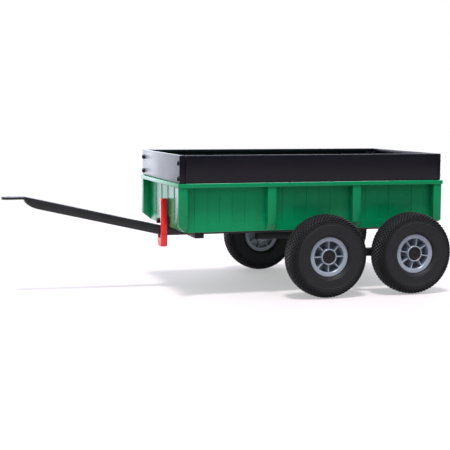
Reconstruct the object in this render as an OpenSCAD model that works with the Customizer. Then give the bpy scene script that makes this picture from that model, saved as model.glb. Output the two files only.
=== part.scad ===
// Tandem-axle tipping trailer for a pedal go-kart.
// +X points forward to the hitch, +Y to the trailer's left, +Z up. The origin is on the ground,
// under the middle of the overall length and width. All sizes are in millimetres.

/* [Tub] */
// Length of the green tub over its rim
tub_l = 892; // [700:1:1100]
// Width of the green tub over its rim
tub_w = 512; // [420:1:620]
// Height of the tub from its underside to the rim's top
tub_h = 152; // [110:1:200]
// Thickness of the tub's moulded walls
wall = 3.5; // [2.5:0.5:5]
// Height of the rim band
rim_h = 12.5; // [10:0.5:20]
// How far the rim stands out from the ribs
lip = 3; // [2:0.5:6]
// How far a rib stands out from the wall
rib_d = 25; // [18:1:32]
// Width of a rib and of a corner post
rib_w = 28; // [26:1:36]
// Height of the slanted foot of a rib
rib_foot = 20; // [8:1:30]

/* [Boards] */
// Height of the extension boards
board_h = 86; // [60:1:120]
// Thickness of the board sheet
board_t = 3; // [2:0.5:4]
// Thickness of the rolled top edge
hem = 10; // [8:0.5:14]
// Distance from the rim's edge in to the boards
board_in = 6; // [6:0.5:9]
// Length of the front board's side returns
return_l = 19; // [16:1:26]

/* [Wheels] */
// Outer diameter of a tyre
tyre_d = 260; // [220:1:312]
// Width of a tyre
tyre_w = 85; // [72:1:100]
// Diameter of the rim's flanges
rim_d = 124; // [110:1:140]
// Gap between the tub's side and a tyre
wheel_gap = 22.5; // [14:0.5:40]
// Gap between a front tyre and a rear tyre
wheel_space = 32; // [16:1:60]
// Distance from the tub's rear rim to the rear wheels' axles
rear_axle_in = 144; // [130:1:180]
// Diameter of the stub axles
axle_d = 16; // [12:1:20]

/* [Chassis] */
// Side of the square drawbar tube
beam = 30; // [26:1:36]
// Side of the square tubes between the wheels
bogie = 25; // [20:1:30]
// Wall of the steel tubes
tube_t = 2; // [1.5:0.5:3]
// Height of the drawbar's underside above the axles
frame_rise = 43; // [34:1:60]
// Half length of the cross tubes under the tub
cross_half = 125; // [90:1:160]
// Distance from the tub's rear rim to the tipping hinge
hinge_in = 116; // [100:1:120]

/* [Hitch] */
// Distance from the tub's front rim to the hitch tip
hitch_reach = 499; // [400:1:650]
// Height of the middle of the hitch tongue
hitch_z = 303; // [270:1:330]
// Length of the flat tongue
tongue_l = 72; // [60:1:100]
// Thickness of the tongue
tongue_t = 8; // [6:0.5:10]
// Width of the tongue
tongue_w = 44; // [36:1:56]
// Diameter of the hitch pin's hole
hitch_d = 13; // [10:0.5:16]

/* [Lever] */
// Height of the lever's top above its pivot
lever_up = 105; // [80:1:120]
// Depth of the lever from front to back
lever_d = 21; // [16:1:21]
// Diameter of the lever's pivot pin
lever_pin_d = 10; // [8:1:12]

/* [Hidden] */
$fn = 48;

// Clearances
seat_gap = 0.3;   // between parts that rest on each other across a joint
fit = 0.05;       // radial clearance of a shaft in its hole
slot_gap = 0.3;   // round a tube or board that slides into a socket
eps = 0.01;       // cutters run past a face by this much, or by 1 where there is room

// Main lines
overall_l = tub_l + hitch_reach;
x_rear = -overall_l / 2;
x_front = x_rear + tub_l;
x_tip = overall_l / 2;
axle_z = tyre_d / 2;
track = tub_w + 2 * wheel_gap + tyre_w; // between the middles of a left and a right tyre
axle_pitch = tyre_d + wheel_space;
x_ra = x_rear + rear_axle_in;
x_fa = x_ra + axle_pitch;
x_mid = (x_ra + x_fa) / 2;
beam_z0 = axle_z + frame_rise;
beam_z1 = beam_z0 + beam;
beam_zm = beam_z0 + beam / 2;
x_hinge = x_rear + hinge_in;
side = [1, -1];

// Tub
tub_z0 = beam_z1 + seat_gap;
rim_z1 = tub_z0 + tub_h;
rim_z0 = rim_z1 - rim_h;
shelf_t = 4;                            // thickness of the rim's flat shelf
floor_t = 4;                            // thickness of the floor
wall_in = lip + rib_d;                  // from the rim's edge in to the wall's outer face
rib_y = tub_w / 2 - lip;                // outer face of the side ribs
wall_y = tub_w / 2 - wall_in;           // outer face of the side walls
block = rib_w + wall - lip + 3;         // the corner blocks reach in past the walls by this
rib_z0 = tub_z0 + 2;
rib_pitch = (tub_l - 2 * lip - rib_w) / 3;

// Boards and their posts
board_z0 = rim_z1 + 0.6;
board_z1 = board_z0 + board_h;
board_y = tub_w / 2 - board_in;         // outer face of the side boards
doubler_t = 3;
doubler_l = 36;
post_a = 20;                            // a corner post's size along X
post_b = 15;                            // and along Y
post_foot = 30;                         // depth of a corner post below the rim's top
post_x0 = board_in + board_t + slot_gap;                              // from the rim's edge to the post
post_y1 = board_y - board_t - doubler_t - 2 * slot_gap;
post_y = post_y1 - post_b / 2;
board_bolt_z = [board_z0 + 15, board_z0 + 62 * board_h / 86];
board_bolt_d = 8;

// Hitch and drawbar
bend_in = 19;                           // the drawbar bends this far behind the tub's front rim
x_bend = x_front - bend_in;
tongue_z1 = hitch_z + tongue_t / 2;
x_tongue = x_tip - tongue_l;
// The sloped tube's top edge ends at the tongue's top face.
slope = atan2(tongue_z1 - beam_z1, x_tongue - x_bend);
hitch_in = 22;                          // from the tongue's tip back to the hole

// Lever
x_lever = x_front - 14;
z_lever = beam_zm + (x_lever - x_bend) * tan(slope);
cheek_in = beam / 2 + 0.6;
cheek_out = cheek_in + 10;
handle_w = 20;
web_top = 24;                           // the foot web's top below the pivot
lever_down = 52;                        // the lever's foot below the pivot
cheek_up = 32;                          // the near cheek clears the drawbar up to here above the pivot
handle_up = 46;                         // the handle starts this far above the pivot

// Tailgate
gate_t = 8;
gate_half = tub_w / 2 - lip - block - 1;
gate_x = x_rear + wall_in + gate_t / 2;
knuckle_r = 6.5;
gate_z = tub_z0 + knuckle_r + 0.5;
gate_top = rim_z0 - 1.5;
gate_pin_d = 6;
gate_pin_in = 9;                        // how far a pin reaches into the gate
bolt_d = 8;
bolt_x = gate_x - gate_t / 2 - 6;
bolt_z = rim_z0 - 43;
bolt_travel = 14;

// Wheels, in a local frame: +Z outward along the axle, the origin in the tyre's middle plane
flange_z = 29.7;                        // outer face of each rim flange
flange_t = 3;
seat_r = rim_d / 2 - 10;                // the tyre's bead sits here
barrel_t = 4;
hub_r = 25;
hub_inner = -34.5;
hub_floor = 12;                         // floor of the outer counterbore
cap_r = 21.5;
bush_r = axle_d / 2 + 3;
bush_flange_r = bush_r + 4;
bush_flange_t = 1.5;
collar_z = hub_inner - bush_flange_t - seat_gap;
bogie_y1 = track / 2 - tyre_w / 2 - 3.5;
bogie_y0 = bogie_y1 - bogie;
beam_face = bogie_y1 - track / 2;       // outer face of the side beam, in the wheel's frame
tyre_wall = 6;
// Each wheel's place along X, its side, and how far its spokes happen to be turned:
// front left, front right, rear left, rear right
wheels = [[x_fa, 1, 0], [x_fa, -1, 12], [x_ra, 1, -11], [x_ra, -1, 28]];

// ---------- helpers ----------

// A block given by two opposite corners
module span(a, b) {
    translate(a) cube(b - a);
}

// A copy on each side of the trailer
module both_sides() {
    for (s = side) mirror([0, s < 0 ? 1 : 0, 0]) children();
}

// A rod along Y, from y0 to y1
module rod_y(x, y0, y1, z, r) {
    translate([x, y0, z]) rotate([-90, 0, 0]) cylinder(h = y1 - y0, r = r);
}

// A rod along X, from x0 to x1
module rod_x(x0, x1, y, z, r) {
    translate([x0, y, z]) rotate([0, 90, 0]) cylinder(h = x1 - x0, r = r);
}

// A hexagonal nut along +Z with its bore
module nut(across, h, bore_r) {
    difference() {
        cylinder(h = h, r = across / 2 / cos(30), $fn = 6);
        translate([0, 0, -1]) cylinder(h = h + 2, r = bore_r);
    }
}

// Children placed in the frame of one wheel
module at_wheel(w) {
    translate([w[0], w[1] * track / 2, axle_z]) rotate([-90 * w[1], 0, 0]) children();
}

// ---------- chassis ----------

// The drawbar's side outline, for a tube of half depth h, from x0 to the slope's end
function drawbar_outline(h, x0, run) = let (
    k = h * tan(slope / 2),
    ex = x_bend + run * cos(slope),
    ez = beam_zm + run * sin(slope))
    [[x0, beam_zm - h], [x_bend + k, beam_zm - h],
     [ex + h * sin(slope), ez - h * cos(slope)], [ex - h * sin(slope), ez + h * cos(slope)],
     [x_bend - k, beam_zm + h], [x0, beam_zm + h]];

slope_run = (x_tongue - x_bend) / cos(slope) - beam;
press_l = 46;                           // length of the pressed stretch between tube and tongue
// A thin slice of the pressed stretch: f is 0 at the tube and 1 at the tongue
module press_slice(f) {
    x = x_tongue - press_l + f * (press_l + 4);
    top = min(tongue_z1, beam_z1 + (x - x_bend) * tan(slope));
    depth = tongue_t + (beam / cos(slope) - tongue_t) * pow(1 - pow(f, 2.4), 0.5);
    half = beam / 2 + (tongue_w - beam) / 2 * f * f;
    span([x, -half, top - depth], [x + 1, half, top]);
}

module drawbar() color("#2b2b2e") difference() {
    union() {
        rotate([90, 0, 0]) translate([0, 0, -beam / 2]) linear_extrude(beam)
            polygon(drawbar_outline(beam / 2, x_hinge, slope_run));
        for (i = [0:4]) hull() {
            press_slice(i / 5);
            press_slice((i + 1) / 5);
        }
        translate([0, 0, tongue_z1 - tongue_t]) linear_extrude(tongue_t) {
            translate([x_tongue, -tongue_w / 2]) square([tongue_l - tongue_w / 2, tongue_w]);
            translate([x_tip - tongue_w / 2, 0]) circle(r = tongue_w / 2);
        }
    }
    rotate([90, 0, 0]) translate([0, 0, tube_t - beam / 2]) linear_extrude(beam - 2 * tube_t)
        polygon(drawbar_outline(beam / 2 - tube_t, x_hinge, slope_run - 20));
    rod_y(x_hinge, -beam, beam, beam_zm, beam / 2);
    rod_y(x_lever, -beam, beam, z_lever, lever_pin_d / 2 + fit);
    translate([x_tip - hitch_in, 0, tongue_z1 - tongue_t - 1]) cylinder(h = tongue_t + 2, r = hitch_d / 2);
}

outrigger_in = 104;
x_out = x_front - outrigger_in;
cap_t = 2;
plug_l = 12;
module outriggers() color("#2b2b2e") both_sides() difference() {
    span([x_out - beam / 2, beam / 2, beam_z0], [x_out + beam / 2, cross_half - cap_t, beam_z1]);
    span([x_out - beam / 2 + tube_t, beam / 2 - 1, beam_z0 + tube_t],
         [x_out + beam / 2 - tube_t, cross_half, beam_z1 - tube_t]);
}

module outrigger_caps() color("#1c1c1e") both_sides() {
    span([x_out - beam / 2, cross_half - cap_t, beam_z0], [x_out + beam / 2, cross_half, beam_z1]);
    inner = beam / 2 - tube_t - 0.2;
    span([x_out - inner, cross_half - cap_t - plug_l, beam_zm - inner],
         [x_out + inner, cross_half - cap_t, beam_zm + inner]);
}

rod_d = 12;
ear_t = 6;
ear_y = cross_half + 1;
washer_y = ear_y + ear_t + 0.3;
washer_t = 1.6;
collar_t = 5;
rod_half = washer_y + washer_t + 0.3 + collar_t + 2;
module hinge_tube() color("#2b2b2e") difference() {
    rod_y(x_hinge, -cross_half, cross_half, beam_zm, beam / 2);
    rod_y(x_hinge, -cross_half - 1, cross_half + 1, beam_zm, beam / 2 - tube_t);
}

module hinge_plugs() color("#77787c") both_sides() difference() {
    rod_y(x_hinge, cross_half - plug_l, cross_half, beam_zm, beam / 2 - tube_t - fit);
    rod_y(x_hinge, cross_half - plug_l - 1, cross_half + 1, beam_zm, rod_d / 2 + fit);
}

module hinge_rod() color("#a9abb0") rod_y(x_hinge, -rod_half, rod_half, beam_zm, rod_d / 2);

module hinge_washers() color("#a9abb0") both_sides() difference() {
    rod_y(x_hinge, washer_y, washer_y + washer_t, beam_zm, rod_d / 2 + 6);
    rod_y(x_hinge, washer_y - 1, washer_y + washer_t + 1, beam_zm, rod_d / 2 + fit);
}

module hinge_collars() color("#a9abb0") both_sides() difference() {
    rod_y(x_hinge, washer_y + washer_t + 0.3, washer_y + washer_t + 0.3 + collar_t, beam_zm, rod_d / 2 + 5);
    rod_y(x_hinge, washer_y, washer_y + washer_t + collar_t + 2, beam_zm, rod_d / 2 + fit);
}

bogie_z0 = axle_z - bogie / 2;
bogie_z1 = axle_z + bogie / 2;
module cross_beam() color("#2b2b2e") difference() {
    span([x_mid - bogie / 2, -bogie_y0, bogie_z0], [x_mid + bogie / 2, bogie_y0, bogie_z1]);
    span([x_mid - bogie / 2 + tube_t, -bogie_y0 - 1, bogie_z0 + tube_t],
         [x_mid + bogie / 2 - tube_t, bogie_y0 + 1, bogie_z1 - tube_t]);
}

// A short box between the drawbar and the cross beam, with a gusset plate at its front and back
saddle_half = 32;
gusset_t = 4;
gusset_half = 95;
module saddle_bracket() color("#2b2b2e") {
    difference() {
        span([x_mid - saddle_half, -beam / 2, bogie_z1], [x_mid + saddle_half, beam / 2, beam_z0]);
        span([x_mid - saddle_half + 4, 4 - beam / 2, bogie_z1 - 1],
             [x_mid + saddle_half - 4, beam / 2 - 4, beam_z0 + 1]);
    }
    for (x = [x_mid - bogie / 2 + gusset_t, x_mid + bogie / 2])
        translate([x, 0, 0]) rotate([90, 0, -90]) linear_extrude(gusset_t) both_edges() polygon(
            [[beam / 2 - eps, bogie_z1], [gusset_half, bogie_z1], [gusset_half, bogie_z1 + 5],
             [beam / 2 + 6, beam_z0], [beam / 2 - eps, beam_z0]]);
}

// A flat outline and its mirror image
module both_edges() {
    children();
    mirror([1, 0]) children();
}

beam_over = 29;                         // the side beams run this far past the axles
module side_beam(s) mirror([0, s < 0 ? 1 : 0, 0]) difference() {
    span([x_ra - beam_over, bogie_y0, bogie_z0], [x_fa + beam_over, bogie_y1, bogie_z1]);
    span([x_ra - beam_over - 1, bogie_y0 + tube_t, bogie_z0 + tube_t],
         [x_fa + beam_over + 1, bogie_y1 - tube_t, bogie_z1 - tube_t]);
    for (x = [x_ra, x_fa]) rod_y(x, bogie_y0 - 1, bogie_y1 + 1, axle_z, axle_d / 2 + fit);
}
module left_side_beam() color("#2b2b2e") side_beam(1);
module right_side_beam() color("#2b2b2e") side_beam(-1);

module side_beam_caps() color("#1c1c1e") both_sides() for (e = [[x_fa + beam_over, 1], [x_ra - beam_over, -1]])
    translate([e[0], (bogie_y0 + bogie_y1) / 2, axle_z]) mirror([e[1] < 0 ? 1 : 0, 0, 0]) {
        inner = bogie / 2 - tube_t - 0.2;
        span([0, -bogie / 2, -bogie / 2], [cap_t, bogie / 2, bogie / 2]);
        span([-plug_l, -inner, -inner], [0, inner, inner]);
    }

// A stub axle with the collar that sets the wheel's distance from the beam
axle_end = 27;
nut_z = 15.2;
nut_h = 10;
module stub_axle(w) color("#a9abb0") at_wheel(w) {
    translate([0, 0, beam_face - bogie + 0.5]) cylinder(h = axle_end - beam_face + bogie - 0.5, r = axle_d / 2);
    translate([0, 0, beam_face]) cylinder(h = collar_z - beam_face, r = axle_d / 2 + 5);
}
module axle_front_left() stub_axle(wheels[0]);
module axle_front_right() stub_axle(wheels[1]);
module axle_rear_left() stub_axle(wheels[2]);
module axle_rear_right() stub_axle(wheels[3]);

module axle_washers() color("#a9abb0") for (w = wheels) at_wheel(w)
    translate([0, 0, hub_floor + bush_flange_t + seat_gap]) difference() {
        cylinder(h = 1.2, r = axle_d / 2 + 6);
        translate([0, 0, -1]) cylinder(h = 4, r = axle_d / 2 + fit);
    }

module axle_nuts() color("#a9abb0") for (w = wheels) at_wheel(w)
    translate([0, 0, nut_z]) nut(axle_d * 1.5, nut_h, axle_d / 2 + fit);

module lever_pin() color("#a9abb0") {
    rod_y(x_lever, -cheek_out - 1, cheek_out + 1, z_lever, lever_pin_d / 2);
    both_sides() rod_y(x_lever, cheek_out + 0.4, cheek_out + 3, z_lever, lever_pin_d / 2 + 3);
}

// ---------- tipping lever ----------

// The lever's front outline, with Z measured from the pivot: a straight bar on the near side of the
// drawbar, which passes under it and ends in a short cheek on the far side
lever_front = [
    [cheek_out - handle_w, lever_up], [cheek_out, lever_up], [cheek_out, -lever_down + 6], [cheek_out - 6, -lever_down], [-8, -lever_down],
    for (a = [270:-15:180]) [-8 + (cheek_out - 8) * cos(a), -lever_down + 18 + 18 * sin(a)],
    [-cheek_out, 12], [-cheek_in, 12], [-cheek_in, -web_top], [cheek_in, -web_top],
    [cheek_in, cheek_up], [cheek_in - 6, handle_up], [cheek_out - handle_w, handle_up]];

module tip_lever() color("#cd332f") difference() {
    translate([x_lever - lever_d / 2, 0, z_lever]) rotate([90, 0, 90]) linear_extrude(lever_d)
        polygon(lever_front);
    rod_y(x_lever, -cheek_out - 1, cheek_out + 1, z_lever, lever_pin_d / 2 + fit);
}

// ---------- tub ----------

// The slanted foot of a rib, as an outline: distance out from the wall, then height
rib_outline = [[-1, rib_z0 - 1], [0, rib_z0 - 1], [rib_d, rib_z0 + rib_foot], [rib_d, rim_z0 + 1], [-1, rim_z0 + 1]];

// A side rib, centred at x
module rib(x) translate([x + rib_w / 2, wall_y, 0]) rotate([90, 0, -90]) mirror([1, 0, 0]) linear_extrude(rib_w)
    polygon(rib_outline);

// A corner post: where the slanted feet of its two outer faces meet
module corner_post(xc, sx) intersection() {
    translate([xc, wall_y, 0]) rotate([90, 0, -90 * sx]) mirror([sx > 0 ? 1 : 0, 0, 0])
        translate([0, 0, -2]) linear_extrude(block + 4) polygon(rib_outline_wide);
    translate([xc - sx * rib_d, tub_w / 2, 0]) rotate([90, 0, 0]) linear_extrude(block + lip)
        mirror([sx > 0 ? 0 : 1, 0]) polygon(rib_outline_wide);
    span([min(xc, xc - sx * rib_w), rib_y - rib_w, rib_z0 - 1], [max(xc, xc - sx * rib_w), rib_y, rim_z0 + 1]);
}
rib_outline_wide = [[-rib_w, rib_z0 - 1], [0, rib_z0 - 1], [rib_d, rib_z0 + rib_foot],
                    [rib_d, rim_z0 + 1], [-rib_w, rim_z0 + 1]];

// What the inside of the tub is bounded by
inner_y = wall_y - wall;
inner_x0 = x_rear + wall_in + wall;
inner_x1 = x_front - wall_in - wall;
ends = [[x_front - lip, 1], [x_rear + lip, -1]];
ear_half = 24;
ear_flange_t = 3;
ear_flange_w = 30;
ear_hole_x = 15;
ear_hole_y = ear_y + 17;
small_d = 6;
catch_half = 45;
catch_h = 30;
catch_t = 2.8;
catch_z0 = tub_z0 + 2;
catch_screw_y = 36;
catch_screw_z = catch_z0 + 15;

module tub() color("#1e7e54") difference() {
    union() {
        span([x_rear + wall_in, -wall_y, tub_z0], [x_front - wall_in, wall_y, rim_z1 - 1]);
        span([x_rear, -tub_w / 2, rim_z0], [x_front, tub_w / 2, rim_z1]);
        both_sides() {
            for (i = [1, 2]) rib(x_rear + lip + rib_w / 2 + i * rib_pitch);
            for (e = ends) corner_post(e[0], e[1]);
        }
    }
    // the load space, which leaves a block in each corner
    difference() {
        span([inner_x0, -inner_y, tub_z0 + floor_t], [inner_x1, inner_y, rim_z1 + 1]);
        both_sides() for (e = ends) translate([e[0] - e[1] * block / 2, rib_y - block / 2, rim_z0])
            cube([block, block, 4 * tub_h], center = true);
    }
    // the rim is hollow underneath, between its lip and the walls, posts and ribs
    both_sides() {
        for (i = [0:2]) let (x0 = x_rear + lip + rib_w + i * rib_pitch)
            span([x0, wall_y, rim_z0 - 1], [x0 + rib_pitch - rib_w, tub_w / 2 - wall, rim_z1 - shelf_t]);
        for (e = ends) let (a = e[0] + e[1] * (lip - wall), b = e[0] + e[1] * (lip - wall_in))
            span([min(a, b), -1, rim_z0 - 1], [max(a, b), rib_y - rib_w, rim_z1 - shelf_t]);
    }
    // the ribs are hollow from inside
    both_sides() for (i = [1, 2]) let (x = x_rear + lip + rib_w / 2 + i * rib_pitch)
        span([x - rib_w / 2 + wall, inner_y - 1, rib_z0 + rib_foot + wall],
             [x + rib_w / 2 - wall, rib_y - wall, rim_z0 - wall]);
    // sockets for the board posts
    both_sides() for (e = [[x_front, 1], [x_rear, -1]])
        let (a = e[0] - e[1] * (post_x0 - slot_gap), b = e[0] - e[1] * (post_x0 + post_a + slot_gap))
        span([min(a, b), post_y1 - post_b - slot_gap, rim_z1 - post_foot], [max(a, b), post_y1 + slot_gap, rim_z1 + 1]);
    // the tailgate's opening and the cut in the floor that its knuckle turns in
    span([x_rear + wall_in - 1, -gate_half - 1, tub_z0 - 1], [gate_x + knuckle_r + 1, gate_half + 1, rim_z0]);
    // holes: gate pins, gate bolts, hinge bolts and catch screws
    both_sides() {
        rod_y(gate_x, gate_half - 1, gate_half + 16, gate_z, gate_pin_d / 2);
        rod_y(bolt_x, gate_half, gate_half + 1 + bolt_travel, bolt_z, bolt_d / 2 + 0.3);
        for (x = [-ear_hole_x, ear_hole_x]) translate([x_hinge + x, ear_hole_y, tub_z0 - 1])
            cylinder(h = floor_t + 2, r = small_d / 2 + 0.1);
        rod_x(inner_x1 - 1, x_front - wall_in + 1, catch_screw_y, catch_screw_z, 2.5);
    }
}

module hinge_ears() color("#2b2b2e") both_sides() difference() {
    union() {
        translate([x_hinge, ear_y + ear_t, 0]) rotate([90, 0, 0]) linear_extrude(ear_t) difference() {
            union() {
                translate([0, beam_zm]) circle(r = 13);
                translate([-ear_half, tub_z0 - 6]) square([2 * ear_half, 6]);
                polygon([[-12.5, beam_zm], [12.5, beam_zm], [ear_half, tub_z0 - 5], [-ear_half, tub_z0 - 5]]);
            }
            translate([0, beam_zm]) circle(r = rod_d / 2 + fit + 0.01);
        }
        span([x_hinge - ear_half, ear_y, tub_z0 - ear_flange_t],
             [x_hinge + ear_half, ear_y + ear_flange_w, tub_z0]);
    }
    for (x = [-ear_hole_x, ear_hole_x]) translate([x_hinge + x, ear_hole_y, tub_z0 - ear_flange_t - 1])
        cylinder(h = ear_flange_t + 2, r = small_d / 2 + 0.1);
}

module hinge_bolts() color("#a9abb0") both_sides() for (x = [-ear_hole_x, ear_hole_x])
    translate([x_hinge + x, ear_hole_y, 0]) {
        translate([0, 0, tub_z0 - ear_flange_t - 8]) cylinder(h = floor_t + ear_flange_t + 8.5, r = small_d / 2);
        translate([0, 0, tub_z0 + floor_t]) intersection() {
            translate([0, 0, -6]) sphere(r = 9.5);
            cylinder(h = 6, r = 8);
        }
    }

module hinge_nuts() color("#a9abb0") both_sides() for (x = [-ear_hole_x, ear_hole_x])
    translate([x_hinge + x, ear_hole_y, tub_z0 - ear_flange_t - 5]) nut(10, 5, small_d / 2 + 0.05);

// The plate on the tub's front wall that the lever closes against
module catch_plate() color("#2b2b2e") difference() {
    translate([x_front - wall_in, 0, catch_z0]) rotate([90, 0, 90]) linear_extrude(catch_t) {
        translate([-catch_half, 0]) square([2 * catch_half, catch_h - 8]);
        translate([8 - catch_half, 0]) square([2 * catch_half - 16, catch_h]);
        for (s = side) translate([s * (catch_half - 8), catch_h - 8]) circle(r = 8);
    }
    both_sides() rod_x(x_front - wall_in - 1, x_front - wall_in + catch_t + 1, catch_screw_y, catch_screw_z, 2.6);
}

module catch_screws() color("#1c1c1e") both_sides() {
    rod_x(x_front - wall_in - wall - 6, x_front - wall_in + catch_t + 0.5, catch_screw_y, catch_screw_z, 2.45);
    rod_x(x_front - wall_in + catch_t, x_front - wall_in + catch_t + 2.6, catch_screw_y, catch_screw_z, 4.5);
}

// ---------- extension boards ----------

module corner_posts() color("#26262a") both_sides() for (e = [[x_front, 1], [x_rear, -1]]) {
    a = e[0] - e[1] * post_x0;
    b = e[0] - e[1] * (post_x0 + post_a);
    difference() {
        span([min(a, b), post_y1 - post_b, rim_z1 - post_foot], [max(a, b), post_y1, board_z1 - hem - 1]);
        span([min(a, b) + tube_t, post_y1 - post_b + tube_t, rim_z1 - post_foot - 1],
             [max(a, b) - tube_t, post_y1 - tube_t, board_z1]);
        for (z = board_bolt_z) {
            rod_x(e[0] - e[1] * post_x0 - 5, e[0] - e[1] * post_x0 + 5, post_y, z, board_bolt_d / 2 + 0.1);
            rod_y((a + b) / 2, post_y1 - post_b - 1, post_y1 + 1, z - 9, 2.6);
        }
    }
}

// The section of a board: a sheet with a rolled top edge. The sheet's outer face is at 0.
module board_section() {
    square([board_t, board_h]);
    translate([0, board_h - hem]) square([hem, hem]);
}

// A board across one end, facing along +X, with side returns of the given length
module end_board(xo, ret) difference() {
    union() {
        translate([xo, -board_y, board_z0]) rotate([90, 0, 180]) linear_extrude(2 * board_y) board_section();
        both_sides() {
            span([xo - ret, board_y - board_t, board_z0], [xo, board_y, board_z1]);
            span([xo - ret, board_y - hem, board_z1 - hem], [xo, board_y, board_z1]);
        }
    }
    both_sides() for (z = board_bolt_z) rod_x(xo - board_t - 1, xo + 1, post_y, z, board_bolt_d / 2 + 0.1);
}

module front_board() color("#26262a") end_board(x_front - board_in, return_l);
module rear_board() color("#26262a") mirror([1, 0, 0]) end_board(-x_rear - board_in, hem);

// A board along one side, with a doubler at each end that tucks behind the end board's return
side_x0 = x_rear + board_in + hem + slot_gap;
side_x1 = x_front - board_in - return_l - slot_gap;
doubler_x0 = x_rear + board_in + board_t + slot_gap;
doubler_x1 = x_front - board_in - board_t - slot_gap;
module side_board(s) mirror([0, s < 0 ? 1 : 0, 0]) difference() {
    union() {
        translate([side_x0, board_y, board_z0]) rotate([90, 0, 90]) linear_extrude(side_x1 - side_x0)
            mirror([1, 0]) board_section();
        for (d = [[doubler_x0, doubler_x0 + doubler_l], [doubler_x1 - doubler_l - return_l, doubler_x1]])
            span([d[0], board_y - board_t - doubler_t - slot_gap, board_z0],
                 [d[1], board_y - board_t - slot_gap, board_z1 - hem - slot_gap]);
        for (d = [[side_x0, doubler_x0 + doubler_l], [doubler_x1 - doubler_l - return_l, side_x1]])
            span([d[0], board_y - board_t - slot_gap - eps, board_z0], [d[1], board_y - board_t + eps, board_z1 - hem]);
    }
    for (e = [[x_front, 1], [x_rear, -1]], z = board_bolt_z)
        rod_y(e[0] - e[1] * (post_x0 + post_a / 2), board_y - board_t - doubler_t - 2, board_y - board_t - slot_gap - 0.5,
              z - 9, 2.5);
}
module left_board() color("#26262a") side_board(1);
module right_board() color("#26262a") side_board(-1);

// Domed bolts through the end boards into the posts
module board_bolts() color("#1c1c1e") both_sides() for (e = [[x_front - board_in, 1], [x_rear + board_in, -1]])
    for (z = board_bolt_z) translate([e[0], post_y, z]) rotate([0, 90 * e[1], 0]) {
        intersection() {
            translate([0, 0, -1.7]) sphere(r = 7.6);
            cylinder(h = 5.9, r = 7);
        }
        translate([0, 0, -12]) cylinder(h = 12.5, r = board_bolt_d / 2);
    }

// Screws from inside the tub, through the posts into the side boards
module board_screws() color("#a9abb0") both_sides() for (e = [[x_front, 1], [x_rear, -1]], z = board_bolt_z)
    let (x = e[0] - e[1] * (post_x0 + post_a / 2)) {
        rod_y(x, post_y1 - post_b - 0.5, board_y - board_t - slot_gap - 0.8, z - 9, 2.4);
        rod_y(x, post_y1 - post_b - 2.8, post_y1 - post_b, z - 9, 4.5);
    }

// ---------- tailgate ----------

module tailgate() color("#1e7e54") difference() {
    union() {
        span([gate_x - gate_t / 2, -gate_half, gate_z], [gate_x + gate_t / 2, gate_half, gate_top]);
        rod_y(gate_x, -gate_half, gate_half, gate_z, knuckle_r);
    }
    both_sides() rod_y(gate_x, gate_half - gate_pin_in - 1, gate_half + 1, gate_z, gate_pin_d / 2 + fit);
}

module gate_pins() color("#a9abb0") both_sides()
    rod_y(gate_x, gate_half - gate_pin_in, gate_half + 15, gate_z, gate_pin_d / 2);

guide_w = 10;
guide_y = [gate_half - 71, gate_half - 16];
module bolt_guides() color("#1c1c1e") both_sides() for (y = guide_y) difference() {
    span([gate_x - gate_t / 2 - 12, y - guide_w / 2, bolt_z - 8], [gate_x - gate_t / 2, y + guide_w / 2, bolt_z + 8]);
    rod_y(bolt_x, y - guide_w, y + guide_w, bolt_z, bolt_d / 2 + fit);
}

// A sliding bolt with a knob, drawn back
module gate_bolt(s) mirror([0, s < 0 ? 1 : 0, 0]) {
    rod_y(bolt_x, gate_half - 86, gate_half - 3, bolt_z, bolt_d / 2);
    rod_x(bolt_x - 12, bolt_x, gate_half - 43, bolt_z, 4.5);
    rod_x(bolt_x - 15, bolt_x - 11.5, gate_half - 43, bolt_z, 6);
}
module left_gate_bolt() color("#a9abb0") gate_bolt(1);
module right_gate_bolt() color("#a9abb0") gate_bolt(-1);

// ---------- wheels ----------

// The tyre's crown bulges past the rim's flanges. A superellipse gives each wall's outline:
// t runs from the bead, over one side and the tread, to the other bead.
bulge = 2.6;
crown_r = tyre_d / 2;
belly_r = rim_d / 2 + 0.6;
function crown(t, half, r0, r1) = let (c = cos(t), s = sin(t))
    [r0 + (r1 - r0) * pow(max(0, s), 2 / bulge), half * (c < 0 ? -1 : 1) * pow(abs(c), 2 / bulge)];
// Widest at mid height: the section's lower part is the mirror of a flatter curve
function tyre_point(t, g) = let (
    half = tyre_w / 2 - g,
    mid = (belly_r + crown_r) / 2 - 4,
    up = t >= 0 && t <= 180)
    up ? crown(t, half, mid, crown_r - g)
       : let (u = t < 0 ? -t : t - 180, q = t < 0 ? u : 180 - u)
         [mid - (mid - belly_r - g) * pow(sin(min(u, 90)), 2 / bulge),
          (t < 0 ? 1 : -1) * (28 - g + (half - 28 + g) * pow(cos(min(u, 90)), 2 / bulge))];
bead_z = flange_z - flange_t - 0.3;
bead_t = 9;
module tyre(w) color("#2d2d30") at_wheel(w) rotate_extrude($fn = 96) polygon([
    [seat_r + 0.2, bead_z],
    [belly_r, bead_z],
    for (t = [-90:15:270]) tyre_point(t, 0),
    [belly_r, -bead_z],
    [seat_r + 0.2, -bead_z],
    [seat_r + 0.2, -bead_z + bead_t],
    [belly_r + tyre_wall, -bead_z + bead_t],
    for (t = [255:-15:-75]) tyre_point(t, tyre_wall),
    [belly_r + tyre_wall, bead_z - bead_t],
    [seat_r + 0.2, bead_z - bead_t]]);
module tyre_front_left() tyre(wheels[0]);
module tyre_front_right() tyre(wheels[1]);
module tyre_rear_left() tyre(wheels[2]);
module tyre_rear_right() tyre(wheels[3]);

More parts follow.
